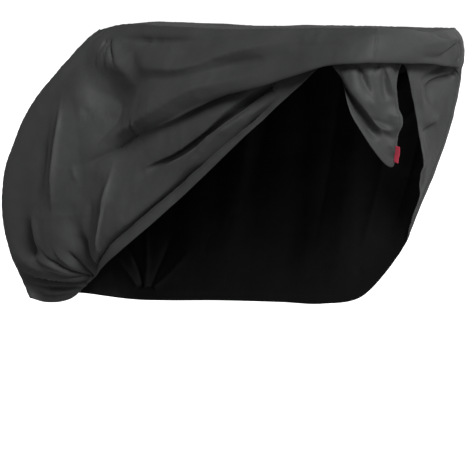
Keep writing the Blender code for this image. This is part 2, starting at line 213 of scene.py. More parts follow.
clothGrid = {
    "sideLength": 2.05,
    "frontLength": 0.62,
    "rearLength": 0.42,
    "sideColumns": 298,
    # how closely the columns of the near side stand, by section: closest on the gathered rear part
    "crowding": [(0, 1.0), (0.8, 1.2), (1.3, 2.0), (3.8, 2.0), (4.6, 1.15), (7.5, 1.15), (8.5, 0.8),
                 (11, 0.8)],
    "stripColumns": 60,
    "frontCrowding": [(11, 0.8), (13, 0.7), (14, 1.3), (15, 2.0), (16, 1.6)],
    "seamColumns": (0.0025, 0.006, 0.010, 0.015, 0.021),   # extra columns beside each seam
    "rowsPerSpan": (10, 17, 16, 10, 8, 11, 38, 30),
    "hemRows": 16,             # rows in the last quarter of the last span, which is the hem's
    "hemShare": 0.25,
    "stopsTried": 500,         # how finely the crowding is worked out
    "facingTried": 900,
    "thickness": 0.0008,
    "seamGap": 0.0003,
}

# The broad folds, at about the same places as on the solids, though some are lower, since creases are
# added to them: wall, layer, from, to, half width, height. Folds and creases are in millimetres, and a
# height below 0 is a trough.
mainFolds = [
    ("near", "upper", (-550, -30), (-280, -220), 50, 12),
    ("near", "upper", (-600, -100), (-460, -300), 45, -10),
    ("near", "both", (-660, -200), (-420, -340), 55, 4),
    ("near", "both", (-700, -300), (-560, -520), 50, 3),
    ("near", "both", (-700, -260), (-720, -780), 40, 4),
    ("near", "upper", (-240, -200), (550, -90), 55, -12),
    ("near", "both", (-420, -530), (-540, -980), 45, 8),
    ("near", "both", (-600, -740), (-580, -970), 45, -24),
    ("near", "both", (-880, -760), (-860, -930), 50, -16),
    ("near", "both", (-980, -920), (-620, -1000), 35, 16),
    ("near", "both", (-930, -1020), (-620, -1050), 35, -16),
    ("near", "lower", (-220, -560), (140, -360), 40, -24),
    ("near", "lower", (0, -560), (300, -340), 40, 22),
    ("near", "lower", (740, -100), (830, -340), 30, -14),
    ("front", "upper", (180, -60), (-20, -50), 50, 10),
    ("front", "lower", (220, -170), (40, -240), 40, -16),
    ("front", "lower", (160, -360), (80, -420), 40, -12),
    ("far", "both", (660, -100), (520, -800), 55, 16),
    ("far", "both", (400, -80), (300, -980), 65, -18),
    ("far", "both", (100, -100), (40, -1000), 70, 18),
    ("far", "both", (-200, -70), (-280, -950), 65, -18),
    ("far", "both", (-500, -120), (-600, -1020), 60, 20),
    ("far", "both", (-800, -400), (-760, -1020), 55, -16),
    ("top", "upper", (-420, 10), (700, -10), 80, -8),
    ("top", "upper", (300, -200), (820, 160), 60, 6),
    ("top", "upper", (-400, 160), (-100, -120), 60, 6),
    ("rear", "both", (90, -160), (50, -980), 55, 16),
    ("rear", "both", (-70, -300), (-40, -1040), 50, -16),
]
foldEnds = 0.12                # share of a half wave that a broad fold leaves out at either end

# the two axes along which a place on each wall is given
flatAxes = {"near": (0, 2), "far": (0, 2), "front": (1, 2), "rear": (1, 2), "top": (0, 1)}


def sectionRows(form):
    far = []
    lip, root = form["farLipShare"], form["farRootShare"]
    for topX, bellyX, bellyZ, hemX, hemZ in form["farSections"]:
        far.append((
            0.0,
            (topX, *form["farTop"]),
            (topX + (bellyX - topX) * lip, form["farWallY"], bellyZ * lip),
            (topX + (bellyX - topX) * root, form["farWallY"], bellyZ * root),
            (bellyX, form["farBellyY"], bellyZ),
            (hemX, form["farHemY"], hemZ),
        ))
    seam = form["nearSections"][0][1:]
    mirrored = (0.0, *[(x, -y, z) for x, y, z in seam])
    middle = (0.0, *[(x - form["rearNose"], 0.0, z) for x, y, z in seam])
    return form["nearSections"] + form["frontSections"] + far + [mirrored, middle]


def controlNet(form):
    # nine control points down each section, with both layers of the tuck
    rows = sectionRows(form)
    tuck = np.array([row[0] for row in rows])[:, None]
    top, lip, root, belly, hem = (np.array([row[k] for row in rows]) for k in range(1, 6))
    tangent = np.roll(lip, -1, axis=0) - np.roll(lip, 1, axis=0)
    outward = np.stack([tangent[:, 1], -tangent[:, 0], 0 * tangent[:, 0]], axis=1)
    outward /= np.linalg.norm(outward, axis=1)[:, None]
    gap = outward * form["tuckGap"] * tuck
    spread = (root - lip) * form["plainSpread"] * (1 - tuck)
    shoulder = top + (lip - top) * form["shoulderShare"] + outward * form["shoulderOut"]
    face = (shoulder + lip) / 2 + outward * form["wallCrown"]
    net = np.stack([top, shoulder, face, lip + gap / 2, lip - gap / 2 + spread,
                    root + gap / 2 - spread, root - gap / 2, belly, hem], axis=1)
    return net, tuck[:, 0]


def roundWeights(stops, count):
    # Catmull-Rom round the closed loop of sections
    base = np.floor(stops).astype(int)
    f = stops - base
    weights = np.array([
        -0.5 * f + f ** 2 - 0.5 * f ** 3,
        1 - 2.5 * f ** 2 + 1.5 * f ** 3,
        0.5 * f + 2 * f ** 2 - 1.5 * f ** 3,
        -0.5 * f ** 2 + 0.5 * f ** 3,
    ])
    matrix = np.zeros((len(stops), count))
    for k in range(4):
        np.add.at(matrix, (np.arange(len(stops)), (base + k - 1) % count), weights[k])
    return matrix


def downWeights(levels, spans):
    # cubic B-spline down a section, with one phantom point past each end
    base = np.minimum((levels * spans).astype(int), spans - 1)
    f = levels * spans - base
    weights = np.array([
        (1 - f) ** 3,
        4 - 6 * f ** 2 + 3 * f ** 3,
        1 + 3 * f + 3 * f ** 2 - 3 * f ** 3,
        f ** 3,
    ]) / 6
    matrix = np.zeros((len(levels), spans + 3))
    for k in range(4):
        matrix[np.arange(len(levels)), base + k] = weights[k]
    return matrix


def rowLevels(grid):
    spans = len(grid["rowsPerSpan"])
    share = np.ones(spans)
    share[-1] = 1 - grid["hemShare"]
    marks = [k + share[k] * np.arange(steps) / steps for k, steps in enumerate(grid["rowsPerSpan"])]
    marks.append(spans - 1 + share[-1] + grid["hemShare"] * np.arange(grid["hemRows"] + 1) / grid["hemRows"])
    return np.concatenate(marks) / spans


def columnStops(first, last, steps, length, grid, crowding=((0, 1.0),)):
    # stops between two seams, crowded as asked, with a few more close to the seam at either end
    extra = np.array(grid["seamColumns"]) / length * (last - first)
    fine = np.linspace(first, last, grid["stopsTried"])
    marks, weights = zip(*crowding)
    grown = np.cumsum(np.interp(fine, marks, weights))
    grown = (grown - grown[0]) / (grown[-1] - grown[0])
    plain = np.interp(np.linspace(0, 1, steps + 1), grown, fine)
    plain = first + extra[-1] + (plain - first) * (last - first - 2 * extra[-1]) / (last - first)
    return np.concatenate([[first], first + extra[:-1], plain, last - extra[:-1][::-1]])


def travelled(places, axis=0):
    # metres travelled along a line of places, or along every line of a block of them
    steps = np.linalg.norm(np.diff(places, axis=axis), axis=-1)
    return np.insert(np.cumsum(steps, axis=axis), 0, 0, axis=axis)


def lengthShare(line):
    steps = travelled(line)
    return steps / steps[-1]


def facingStops(net, stops, tried, nearEnd, farStart, farEnd):
    # the far side's columns stand opposite the near side's along the top
    count = len(net)
    near = lengthShare(roundWeights(np.append(stops, nearEnd), count) @ net[:, 0])
    fine = np.linspace(farStart, farEnd, tried)
    far = lengthShare(roundWeights(fine, count) @ net[:, 0])
    return np.interp(1 - near[::-1], far, fine)[:-1]


def buildCloth(form, grid):
    net, tuck = controlNet(form)
    count = len(net)
    nearEnd = len(form["nearSections"]) - 1
    farStart = nearEnd + len(form["frontSections"])
    farEnd = farStart + len(form["farSections"]) + 1
    nearStops = columnStops(0, nearEnd, grid["sideColumns"], grid["sideLength"], grid, grid["crowding"])
    runs = {
        "near": nearStops,
        "front": columnStops(
            nearEnd, farStart, grid["stripColumns"], grid["frontLength"], grid, grid["frontCrowding"]),
        "far": facingStops(net, nearStops, grid["facingTried"], nearEnd, farStart, farEnd),
        "rear": columnStops(farEnd, count, grid["stripColumns"], grid["rearLength"], grid),
    }
    stops = np.concatenate(list(runs.values()))
    levels = rowLevels(grid)
    padded = np.concatenate([2 * net[:, :1] - net[:, 1:2], net, 2 * net[:, -1:] - net[:, -2:-1]], axis=1)
    across = roundWeights(stops, count)
    down = downWeights(levels, net.shape[1] - 1)
    wall = np.einsum("cn,nrk,tr->ctk", across, padded, down)
    turns = np.cumsum([0] + [len(run) for run in runs.values()])
    cloth = {
        "levels": levels,
        "turns": turns,
        "columns": len(stops),
        "rows": len(levels),
        "side": len(runs["near"]),
        "strip": len(runs["front"]),
        "tuck": across @ tuck,
    }
    return cloth, wall


def topPatch(cloth, wall, form):
    # the top is stretched between the four top edges, a little crowned
    side, strip = cloth["side"], cloth["strip"]
    edge = wall[:, 0]
    turns = cloth["turns"]
    near = edge[:side + 1]
    front = edge[side:side + strip + 1]
    far = edge[turns[2]:turns[3] + 1][::-1]
    rear = np.vstack([edge[turns[3]:], edge[:1]])[::-1]
    a = lengthShare(near)[:, None, None]
    b = lengthShare(front)[None, :, None]
    sides = (1 - b) * near[:, None] + b * far[:, None]
    ends = (1 - a) * rear[None] + a * front[None]
    corners = ((1 - a) * (1 - b) * near[0] + (1 - a) * b * far[0]
               + a * (1 - b) * near[-1] + a * b * far[-1])
    top = sides + ends - corners
    fade = np.minimum(1, form["crownEnds"] * a * (1 - a))
    top[:, :, 2] += form["topCrown"] * (4 * b * (1 - b))[:, :, 0] * fade[:, :, 0]
    return top


def gatherCloth(form, grid):
    cloth, wall = buildCloth(form, grid)
    top = topPatch(cloth, wall, form)
    columns, rows = cloth["columns"], cloth["rows"]
    side, strip, turns = cloth["side"], cloth["strip"], cloth["turns"]
    wallIndex = np.arange(columns * rows).reshape(columns, rows)
    wallIndex = np.vstack([wallIndex, wallIndex[:1]])
    topIndex = np.full((side + 1, strip + 1), -1)
    topIndex[:, 0] = wallIndex[:side + 1, 0]
    topIndex[:, strip] = wallIndex[turns[2]:turns[3] + 1, 0][::-1]
    topIndex[0, :] = wallIndex[turns[3]:turns[3] + strip + 1, 0][::-1]
    topIndex[side, :] = wallIndex[side:side + strip + 1, 0]
    inner = (side - 1) * (strip - 1)
    topIndex[1:-1, 1:-1] = columns * rows + np.arange(inner).reshape(side - 1, strip - 1)
    cloth["points"] = np.vstack([wall.reshape(-1, 3), top[1:-1, 1:-1].reshape(-1, 3)])
    cloth["wallIndex"] = wallIndex
    cloth["topIndex"] = topIndex

    def quads(index):
        corners = [index[:-1, :-1], index[:-1, 1:], index[1:, 1:], index[1:, :-1]]
        return np.stack(corners, axis=-1).reshape(-1, 4)

    def wallQuads(k):
        return quads(wallIndex[turns[k]:turns[k + 1] + 1])

    cloth["faces"] = {
        "nearSide": wallQuads(0),
        "farSide": wallQuads(2),
        "strip": np.vstack([wallQuads(1), quads(topIndex)[:, ::-1], wallQuads(3)]),
    }
    names = np.empty(len(cloth["points"]), dtype="U5")
    names[columns * rows:] = "top"
    for k, name in enumerate(("near", "front", "far", "rear")):
        names[wallIndex[turns[k]:turns[k + 1]].ravel()] = name
    cloth["walls"] = names
    level = np.zeros(len(cloth["points"]))
    level[:columns * rows] = np.tile(cloth["levels"], columns)
    tuck = np.zeros(len(cloth["points"]))
    tuck[:columns * rows] = np.repeat(cloth["tuck"], rows)

    def change(values, startAndReach):
        return smooth((values - startAndReach[0]) / startAndReach[1])

    tucked = change(tuck, form["tuckedFrom"])
    # how far each point belongs to the overhang, or to the cloth below it, where there are two layers
    cloth["layerShare"] = {
        "upper": 1 - tucked * change(level, form["upperEnds"]),
        "lower": 1 - tucked * (1 - change(level, form["lowerStarts"])),
        "both": np.ones(len(level)),
    }
    return cloth


def inMetres(sizes):
    return np.array(sizes) / 1000


def smooth(x):
    x = np.clip(x, 0, 1)
    return x * x * (3 - 2 * x)


def clothNormals(cloth):
    points = cloth["points"]
    normals = np.zeros_like(points)
    for faces in cloth["faces"].values():
        a, b, c, d = (points[faces[:, k]] for k in range(4))
        square = np.cross(c - a, d - b)
        for k in range(4):
            np.add.at(normals, faces[:, k], square)
    return normals / np.linalg.norm(normals, axis=1)[:, None]


def pushMainFolds(cloth, folds):
    normals = clothNormals(cloth)
    points = cloth["points"]
    total = np.zeros(len(points))
    for wall, layer, start, end, halfWidth, height in folds:
        here = np.nonzero(cloth["walls"] == wall)[0]
        place = points[here][:, flatAxes[wall]]
        start, end, (halfWidth, height) = inMetres(start), inMetres(end), inMetres((halfWidth, height))
        along = end - start
        reach = np.clip((place - start) @ along / (along @ along), 0, 1)
        away = np.linalg.norm(place - start - reach[:, None] * along, axis=1)
        fade = np.sin(np.pi * (foldEnds + (1 - 2 * foldEnds) * reach))
        bulge = height * fade * np.exp(-(away / halfWidth) ** 2)
        total[here] += bulge * cloth["layerShare"][layer][here]
    cloth["points"] = points + normals * total[:, None]


cloth = gatherCloth(coverForm, clothGrid)
pushMainFolds(cloth, mainFolds)
print("cloth laid out:", len(cloth["points"]), "points")

# The creases: wall and layer, then rows of kind, fade, height, widths along its way
# and places along the wall. A kind is soft (round) or sharp (a crest with long sides). It can also be
# a flank, an even slope on the left of its way, seen from outside, which is lower where it is narrower.
# Its kind is the reach of the steep side on the right, or that reach and how far the crest laps over it.
creaseWork = {
    "crestRound": 3.5,         # radius of the crest of a sharp crease
    "flankSoft": 0.08,         # how softly the sides of a flank end at their feet, as a share
    "pathStep": 12,            # between two points of a crease's line
    "pathNearest": 6,          # points of the cloth that give one point of the line
    "pathMeans": 4,            # how often the line is evened out
    "tail": 4.5,               # a crease ends this many widths out
    "flankTail": 1.5,
    # the shares of its way over which a crease grows and dies away
    "fades": {"both": (0.35, 0.45), "start": (0.35, 0.001), "end": (0.001, 0.45),
              "short": (0.12, 0.15), "away": (0.10, 0.55), "broad": (0.45, 0.40)},
    "nearWall": [
        # upright fold on the rear part with a thin crest, its long side turned to the front
        ("near", "both", [
            (85, "both", 40, (30, 70, 110, 130, 110), [(-705, -220), (-674, -290), (-646, -390),
             (-656, -500), (-678, -660), (-710, -800)]),
            ("sharp", "both", 15, (6, 6), [(-690, -250), (-668, -300), (-646, -390), (-656, -500),
             (-678, -660), (-700, -780)]),
            ("soft", "both", -10, (30, 40), [(-755, -400), (-745, -500), (-750, -600), (-760, -740)]),
        ]),
        # second crest, lower down, with dark hollows beside it and further back
        ("near", "both", [
            (45, "both", 34, (80, 120, 110, 70), [(-385, -500), (-402, -650), (-436, -770), (-485, -890),
             (-545, -985)]),
            ("sharp", "both", 13, (6, 6), [(-385, -510), (-402, -650), (-436, -770), (-485, -890),
             (-545, -985)]),
            ("soft", "both", -12, (16, 22), [(-495, -660), (-515, -770), (-535, -870)]),
            ("sharp", "both", -42, (12, 16), [(-575, -800), (-572, -890), (-560, -980)]),
            ("sharp", "both", -38, (12, 18), [(-850, -760), (-853, -860), (-848, -940)]),
            ("soft", "both", 12, (20, 30), [(-815, -740), (-815, -840), (-800, -930)]),
        ]),
        # folds that spread from the first peak
        ("near", "upper", [
            (16, "away", 11, (12, 34, 40), [(-476, -40), (-486, -90), (-500, -180)]),
            (14, "away", 11, (10, 30, 36), [(-462, -40), (-450, -90), (-430, -170)]),
            (110, "away", 30, (10, 40, 80, 80, 50), [(-436, -40), (-408, -85), (-378, -135), (-345, -165),
             (-290, -190)]),
            ("sharp", "away", -12, (5, 8), [(-470, -40), (-485, -85), (-495, -140)]),
            ("sharp", "away", -12, (5, 8), [(-462, -40), (-447, -95), (-440, -150)]),
            ("sharp", "away", -14, (5, 9), [(-455, -38), (-415, -100), (-380, -160)]),
            ("sharp", "both", -22, (12, 15), [(-440, -30), (-340, -40), (-200, -45), (-50, -42),
             (100, -40)]),
        ]),
        # the second peak: a broad slope that catches the light, and the small creases on it
        ("near", "both", [
            (240, "broad", -76, (30, 90, 160, 200, 200, 150, 80, 20), [(-545, -542), (-490, -483),
             (-445, -428), (-400, -365), (-390, -306), (-450, -267), (-540, -223), (-610, -184)]),
            ("sharp", "both", -6, (10, 12), [(-560, -300), (-550, -320), (-500, -360)]),
            ("sharp", "both", 7, (10, 11), [(-583, -535), (-575, -580), (-566, -620)]),
        ]),
        # the overhang bulges and rolls under along its lower edge, with a notch where the tuck begins
        ("near", "upper", [
            (48, "both", 62, (100, 150, 150, 120, 80, 60), [(-600, -555), (-500, -482), (-380, -418),
             (-220, -362), (-100, -307), (50, -242), (220, -205), (400, -165), (550, -135)]),
        ]),
        ("near", "both", [
            ("soft", "both", -12, (14, 16), [(-560, -560), (-430, -495), (-315, -455), (-220, -420)]),
            ("sharp", "both", -16, (8, 9), [(-262, -350), (-262, -400), (-258, -450)]),
            ("sharp", "both", 9, (8, 10), [(-238, -350), (-240, -400), (-242, -440)]),
        ]),
        # a long ridge on the overhang and the hollows under it
        ("near", "upper", [
            (40, "both", 40, (80, 60), [(-340, -150), (-220, -150), (-100, -155), (20, -148), (140, -115),
             (250, -85), (430, -55), (620, -35)]),
            ("sharp", "both", -7, (12, 12), [(140, -165), (300, -130), (460, -102)]),
            ("sharp", "both", -6, (10, 10), [(500, -62), (660, -50), (800, -48)]),
        ]),
        # long pleats in the cloth below the tuck, all drawn to the apex, each lapped over the next
        ("near", "lower", [
            ((16, 18), "both", 40, (50, 80, 60), [(-290, -570), (-235, -542), (-85, -462), (80, -368),
             (200, -292), (400, -175)]),
            ("sharp", "start", -50, (10, 13), [(-235, -566), (-85, -486), (80, -391), (200, -315),
             (400, -199)]),
            ((16, 18), "both", 36, (50, 70, 50), [(-40, -568), (20, -530), (120, -450), (240, -362),
             (330, -300), (450, -220)]),
            ("sharp", "both", -46, (10, 13), [(-10, -574), (120, -472), (240, -384), (330, -322),
             (450, -242)]),
        ]),
        # the roll of cloth that lies along the hem, the dark line under it and the hem's own roll
        ("near", "lower", [
            ((16, 24), "short", 48, (50, 100, 90, 50), [(-616, -978), (-561, -935), (-441, -842),
             (-311, -750), (-196, -670), (-76, -584), (54, -486), (104, -442), (224, -356), (344, -270)]),
            ("sharp", "short", -58, (13, 15), [(-591, -976), (-451, -866), (-321, -775), (-206, -693),
             (-86, -608), (49, -510), (94, -470), (224, -380), (344, -292)]),
            (10, "short", 16, (50, 56, 50), [(344, -302), (224, -392), (94, -482), (49, -522),
             (-86, -620), (-206, -706), (-321, -788), (-451, -879), (-591, -986)]),
        ]),
        # gathers drawn in to one point at the rear of the hem, each lapped over the next
        ("near", "both", [
            ((14, 8), "start", 22, (40, 46, 30, 14), [(-990, -930), (-860, -955), (-740, -985),
             (-630, -1006)]),
            ((14, 8), "start", 24, (36, 34, 22, 14), [(-985, -976), (-860, -996), (-740, -1008),
             (-640, -1016)]),
            ((14, 8), "start", 24, (36, 32, 22, 14), [(-965, -1022), (-850, -1034), (-740, -1036),
             (-650, -1030)]),
            ((14, 8), "both", 20, (36, 32, 22, 14), [(-930, -1066), (-830, -1070), (-740, -1060),
             (-670, -1044)]),
            ((12, 9), "both", 15, (40, 40, 26, 10), [(-870, -905), (-780, -938), (-690, -975),
             (-620, -1005)]),
            ((12, 9), "both", 13, (50, 44, 30, 10), [(-800, -868), (-730, -920), (-660, -965),
             (-610, -1003)]),
            ((12, 8), "both", 12, (36, 30, 10), [(-725, -860), (-670, -930), (-605, -996)]),
            ("sharp", "start", -26, (14, 10), [(-840, -950), (-740, -990), (-620, -1012)]),
            ("sharp", "start", -24, (12, 8), [(-655, -880), (-630, -940), (-595, -1000)]),
            ("sharp", "start", -26, (13, 9), [(-770, -905), (-700, -955), (-615, -1008)]),
            ("sharp", "start", -24, (14, 10), [(-960, -1000), (-850, -1014), (-740, -1024),
             (-640, -1024)]),
            ("sharp", "both", -22, (14, 10), [(-930, -1046), (-840, -1054), (-740, -1050),
             (-660, -1040)]),
        ]),
    ],
    "flap": [
        # the notch under the overhang and the folds that fall from it
        ("near", "lower", [
            ("sharp", "both", -20, (12, 12), [(775, -100), (806, -138), (832, -178)]),
            ("sharp", "both", -14, (12, 12), [(862, -105), (852, -135), (846, -165)]),
            ("soft", "end", 12, (12, 22), [(835, -160), (845, -240), (860, -330)]),
            ("sharp", "both", -18, (10, 14), [(800, -115), (824, -185), (856, -270)]),
        ]),
        # the turned edge of the flap and the dark fold beside it
        ("near", "lower", [
            (10, "short", 24, (40, 70, 70, 30), [(718, -135), (760, -195), (793, -240), (820, -290),
             (850, -355), (867, -405)]),
            ("sharp", "short", -36, (11, 12), [(708, -140), (748, -200), (781, -245), (808, -295),
             (838, -360), (855, -410)]),
        ]),
        # the round outer edge
        ("near", "lower", [
            ("sharp", "both", 10, (14, 18), [(893, -120), (898, -190), (902, -260)]),
            ("sharp", "both", -22, (10, 12), [(868, -120), (874, -190), (880, -270)]),
            ("soft", "both", 12, (26, 34), [(880, -270), (890, -342), (884, -410)]),
        ]),
        ("front", "lower", [
            ("soft", "both", 14, (22, 30), [(-155, -280), (-160, -345), (-155, -400)]),
        ]),
        # small wrinkles near the tip
        ("near", "lower", [
            ("sharp", "both", -11, (7, 9), [(835, -318), (856, -346), (888, -358)]),
            ("sharp", "both", 10, (8, 10), [(842, -338), (862, -368), (892, -380)]),
            ("sharp", "both", -10, (7, 8), [(855, -376), (870, -398), (894, -406)]),
            ("sharp", "both", 10, (8, 9), [(872, -410), (880, -440), (884, -475)]),
        ]),
    ],
    "frontEnd": [
        # the corner of the overhang: a pinch, its creases and the sharp corner line
        ("front", "upper", [
            ("sharp", "both", 12, (8, 10), [(170, -30), (168, -80), (165, -125)]),
            ("sharp", "both", -14, (8, 10), [(188, -30), (190, -80), (185, -125)]),
            ("sharp", "end", 10, (10, 34), [(165, -35), (20, -45), (-140, -60)]),
            ("soft", "both", -8, (14, 18), [(100, -105), (-20, -100), (-120, -95)]),
            ("sharp", "both", -6, (10, 12), [(20, -16), (60, -30), (120, -36)]),
            (14, "both", -18, (30, 60, 50), [(205, -34), (150, -55), (80, -84), (10, -110)]),
        ]),
        # creases that run from the pinch over the hanging panel
        ("front", "lower", [
            ("sharp", "end", -18, (9, 20), [(165, -140), (70, -170), (-30, -222)]),
            ("sharp", "end", -16, (9, 18), [(225, -172), (100, -196), (-20, -262)]),
            ("sharp", "end", 12, (10, 24), [(200, -160), (90, -182), (-10, -235)]),
            ("sharp", "both", -12, (9, 11), [(12, -384), (90, -374), (168, -356)]),
            ("soft", "both", 10, (18, 20), [(30, -352), (100, -343), (170, -326)]),
            ("soft", "both", -14, (22, 26), [(100, -520), (150, -580), (200, -650)]),
            ("soft", "both", -16, (22, 28), [(105, -180), (88, -240), (78, -320)]),
            ("soft", "both", 10, (20, 24), [(-5, -170), (5, -240), (18, -310)]),
        ]),
    ],
    "farSide": [
        # long falls, folds that spread from the top's two ends, and gathers at the rear of the hem
        ("far", "both", [
            ("sharp", "both", 10, (16, 30), [(720, -60), (660, -350), (560, -700), (500, -880)]),
            ("sharp", "both", -10, (16, 30), [(600, -50), (520, -400), (420, -800), (360, -980)]),
            ("sharp", "both", 10, (20, 30), [(300, -40), (240, -400), (180, -750), (120, -1020)]),
            ("sharp", "both", 9, (18, 26), [(-20, -50), (-100, -360), (-160, -660)]),
            ("soft", "both", -10, (22, 34), [(-100, -60), (-180, -420), (-220, -800)]),
            ("sharp", "end", 14, (12, 34), [(-460, -50), (-400, -300), (-380, -620)]),
            ("sharp", "end", 14, (12, 34), [(-480, -50), (-600, -340), (-700, -660)]),
            ("sharp", "end", -10, (10, 28), [(-470, -60), (-500, -320), (-540, -640)]),
            ("sharp", "end", 10, (10, 26), [(800, -50), (600, -160), (360, -220)]),
            ("sharp", "end", -8, (10, 22), [(820, -70), (700, -260), (500, -400)]),
            ("sharp", "start", -14, (18, 8), [(-950, -860), (-820, -980), (-740, -1070)]),
            ("sharp", "start", 14, (20, 8), [(-900, -800), (-780, -940), (-720, -1070)]),
            ("sharp", "start", -12, (18, 8), [(-720, -780), (-700, -940), (-700, -1070)]),
            ("sharp", "start", 12, (18, 8), [(-580, -840), (-640, -980), (-680, -1070)]),
            ("sharp", "start", -10, (18, 8), [(-460, -900), (-560, -1000), (-650, -1070)]),
        ]),
    ],
    "rearAndTop": [
        # one fold from either top corner, and the gathers at the hem
        ("rear", "both", [
            ("sharp", "end", 10, (10, 26), [(150, -50), (100, -300), (60, -580)]),
            ("sharp", "end", 10, (10, 26), [(-150, -50), (-110, -300), (-80, -600)]),
            ("sharp", "start", -14, (18, 8), [(130, -800), (100, -950), (60, -1080)]),
            ("sharp", "start", 14, (18, 8), [(50, -820), (40, -960), (30, -1080)]),
            ("sharp", "start", -14, (18, 8), [(-30, -840), (-10, -960), (0, -1080)]),
            ("sharp", "start", 12, (18, 8), [(-120, -820), (-80, -960), (-40, -1080)]),
        ]),
        # slack in the top, and the dip at its front end
        ("top", "upper", [
            ("sharp", "both", 5, (14, 20), [(-460, -180), (-200, -20), (100, 60)]),
            ("sharp", "both", -5, (14, 20), [(-440, 140), (-100, 60), (300, 20)]),
            ("sharp", "both", 5, (12, 18), [(860, -200), (620, -40), (400, 50)]),
            ("sharp", "both", -6, (12, 16), [(900, -60), (800, 0), (660, 100)]),
            ("soft", "both", -6, (20, 22), [(890, -30), (860, 20), (800, 60)]),
        ]),
    ],
}


def smoothPath(places, step):
    # a Catmull-Rom curve through the listed points
    p = inMetres(places)
    p = np.vstack([2 * p[0] - p[1], p, 2 * p[-1] - p[-2]])
    out = []
    for k in range(1, len(p) - 2):
        n = max(2, int(np.linalg.norm(p[k + 1] - p[k]) / step))
        for f in np.arange(n) / n:
            out.append(p[k] + 0.5 * f * (p[k + 1] - p[k - 1])
                       + f * f * (p[k - 1] - 2.5 * p[k] + 2 * p[k + 1] - 0.5 * p[k + 2])
                       + f ** 3 * (1.5 * (p[k] - p[k + 1]) + 0.5 * (p[k + 2] - p[k - 1])))
    out.append(p[-2])
    return np.array(out)


def pathOnCloth(cloth, wall, layer, places, setUp):
    # the listed line laid on the cloth, and the way out from the cloth along it
    here = np.nonzero((cloth["walls"] == wall) & (cloth["layerShare"][layer] > 0.5))[0]
    flat = cloth["points"][here][:, flatAxes[wall]]
    line, outs = [], []
    for place in smoothPath(places, setUp["pathStep"] / 1000):
        away = ((flat - place) ** 2).sum(axis=1)
        nearest = np.argpartition(away, setUp["pathNearest"])[:setUp["pathNearest"]]
        weights = 1 / (away[nearest] + 1e-6)
        line.append(weights @ cloth["points"][here[nearest]] / weights.sum())
        outs.append(cloth["normals"][here[nearest[0]]])
    line = np.array(line)
    for _ in range(setUp["pathMeans"]):     # takes the small steps of the grid out of the line
        line[1:-1] = (line[:-2] + 2 * line[1:-1] + line[2:]) / 4
    return line, np.array(outs)


def creaseShift(cloth, wall, layer, crease, setUp):
    # which points one crease moves, and how far
    kind, fade, height, widths, places = crease
    flank = kind not in ("soft", "sharp")
    steep, lap = inMetres(kind if isinstance(kind, tuple) else (kind, 0)) if flank else (0, 0)
    widths = inMetres(widths)
    crest, foot = setUp["crestRound"] / 1000, setUp["flankSoft"]
    line, outs = pathOnCloth(cloth, wall, layer, places, setUp)
    points = cloth["points"]
    reach = setUp["flankTail"] * max(*widths, steep) if flank else setUp["tail"] * max(widths)
    low, high = line.min(axis=0) - reach, line.max(axis=0) + reach
    near = np.nonzero(((points > low) & (points < high)).all(axis=1))[0]
    spot = points[near]
    along = np.diff(line, axis=0)
    lengths = np.linalg.norm(along, axis=1)
    ticks = np.concatenate([[0], np.cumsum(lengths)])
    best = np.full(len(near), 1e9)
    share = np.zeros(len(near))
    sign = np.ones(len(near))
    side = np.zeros((len(near), 3))
    for k, (start, way, length) in enumerate(zip(line, along, lengths)):
        f = np.clip((spot - start) @ way / length ** 2, 0, 1)
        gap = spot - start - f[:, None] * way
        away = np.linalg.norm(gap, axis=1)
        closer = away < best
        best = np.where(closer, away, best)
        share = np.where(closer, (ticks[k] + f * length) / ticks[-1], share)
        if flank:
            across = np.cross(outs[k], way) / length
            sign = np.where(closer, np.sign(gap @ across), sign)
            side[closer] = -across
    width = np.interp(share, np.linspace(0, 1, len(widths)), widths)
    if kind == "soft":
        profile = np.exp(-(best / width) ** 2)
    elif kind == "sharp":
        profile = np.exp(-(np.sqrt(best ** 2 + crest ** 2) - crest) / width)
    else:
        slope = 1 - best / np.where(sign > 0, width, steep)
        profile = (slope + np.sqrt(slope ** 2 + foot ** 2)) / 2 * width / max(widths)
    first, last = setUp["fades"][fade]
    profile = profile * smooth(share / first) * smooth((1 - share) / last) * cloth["layerShare"][layer][near]
    return near, cloth["normals"][near] * (height / 1000 * profile)[:, None] + side * (lap * profile)[:, None]


def pushCreases(cloth, setUp):
    cloth["normals"] = clothNormals(cloth)
    total = np.zeros((len(cloth["points"]), 3))
    placed = 0
    for part in ("nearWall", "flap", "frontEnd", "farSide", "rearAndTop"):
        for wall, layer, creases in setUp[part]:
            for crease in creases:
                near, shifts = creaseShift(cloth, wall, layer, crease, setUp)
                total[near] += shifts
                placed += 1
    cloth["points"] = cloth["points"] + total
    return placed


print("creases placed:", pushCreases(cloth, creaseWork))

# Small uneven waves that any hung cloth has
clothWaves = [
    # wavelength, height, seed, 1 for sharp crests
    (0.220, 0.0040, 11, 0),
    (0.100, 0.0018, 12, 0),
    (0.060, 0.0012, 13, 1),
    (0.030, 0.0004, 14, 1),
]
waveCells = 24


def latticeNoise(points, size, seed, cell):
    # smooth noise from random values on a cubic lattice that repeats after this many cells
    values = np.random.default_rng(seed).uniform(-1, 1, (cell, cell, cell))
    q = points / size
    base = np.floor(q).astype(int)
    f = smooth(q - base)
    total = 0
    for corner in itertools.product((0, 1), repeat=3):
        weight = np.abs(1 - np.array(corner) - f)
        spot = (base + corner) % cell
        total = total + weight[:, 0] * weight[:, 1] * weight[:, 2] * values[tuple(spot.T)]
    return total


def pushWaves(cloth, waves):
    normals = clothNormals(cloth)
    total = 0
    for size, height, seed, crest in waves:
        noise = latticeNoise(cloth["points"], size, seed, waveCells)
        total = total + height * ((1 - 2 * np.abs(noise)) if crest else noise)
    cloth["points"] = cloth["points"] + normals * total[:, None]


pushWaves(cloth, clothWaves)
print("small waves added:", len(clothWaves), "sizes")

